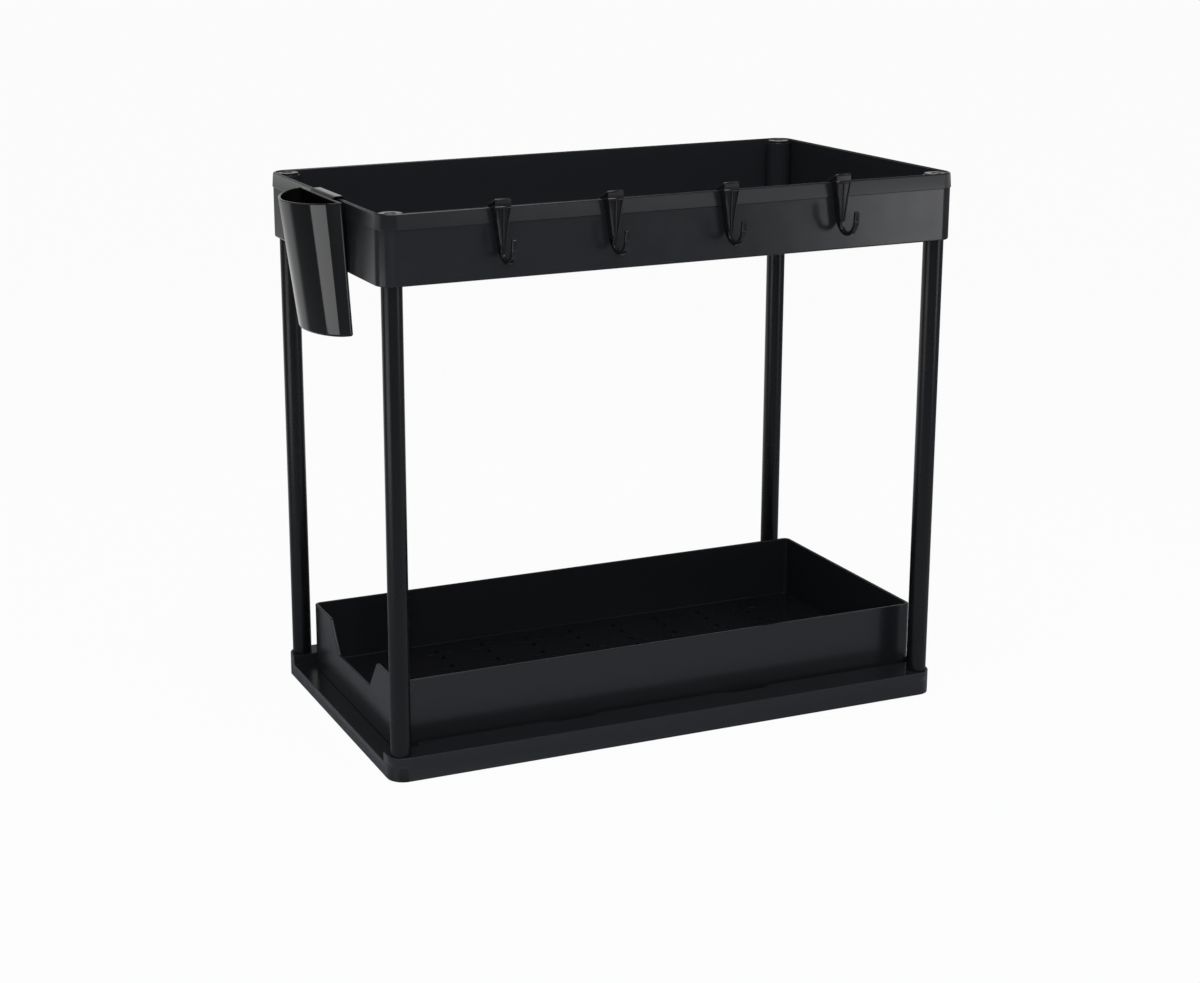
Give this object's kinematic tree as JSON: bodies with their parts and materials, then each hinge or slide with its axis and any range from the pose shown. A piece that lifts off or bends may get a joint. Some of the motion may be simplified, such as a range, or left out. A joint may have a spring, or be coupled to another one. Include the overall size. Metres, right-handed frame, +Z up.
{
  "type": "under sink organizer",
  "caption": "Two-level under-sink stand: an open tray on tube posts over a base with a pull-out drawer, with lift-off rim hooks and a hanging cup.",
  "frame": {"origin": "on the floor, at the middle of the four feet", "axes": "+X along the length, away from the end where the drawer comes out; +Y towards the back, away from the rim with the hooks; +Z up"},
  "size_m": [0.4303, 0.2471, 0.3652],
  "materials": {
    "satin_black": "satin",
    "post_tube": "satin",
    "gloss_black": "gloss",
    "foot_rubber": "matte"
  },
  "bodies": {
    "stand": {"base": "satin_black", "upper_tray": "satin_black", "post_front_left": "post_tube", "post_front_right": "post_tube", "post_back_left": "post_tube", "post_back_right": "post_tube", "cap_front_left": "satin_black", "cap_front_right": "satin_black", "cap_back_left": "satin_black", "cap_back_right": "satin_black", "foot_front_left": "foot_rubber", "foot_front_right": "foot_rubber", "foot_back_left": "foot_rubber", "foot_back_right": "foot_rubber"},
    "drawer": {"drawer": "satin_black"},
    "hook_1": {"hook_1": "gloss_black"},
    "hook_2": {"hook_2": "gloss_black"},
    "hook_3": {"hook_3": "gloss_black"},
    "hook_4": {"hook_4": "gloss_black"},
    "cup": {"hanging_cup": "gloss_black"}
  },
  "joints": [
    {"name": "drawer_slide", "type": "slide", "parent": "stand", "child": "drawer", "axis": [-1, 0, 0], "range_m": [0, 0.198]},
    {"name": "hook_1_lift", "type": "slide", "parent": "stand", "child": "hook_1", "axis": [0, 0, 1], "range_m": [0, 0.03]},
    {"name": "hook_2_lift", "type": "slide", "parent": "stand", "child": "hook_2", "axis": [0, 0, 1], "range_m": [0, 0.03]},
    {"name": "hook_3_lift", "type": "slide", "parent": "stand", "child": "hook_3", "axis": [0, 0, 1], "range_m": [0, 0.03]},
    {"name": "hook_4_lift", "type": "slide", "parent": "stand", "child": "hook_4", "axis": [0, 0, 1], "range_m": [0, 0.03]},
    {"name": "cup_lift", "type": "slide", "parent": "stand", "child": "cup", "axis": [-0.0659, 0, 0.9978], "range_m": [0, 0.03]}
  ]
}
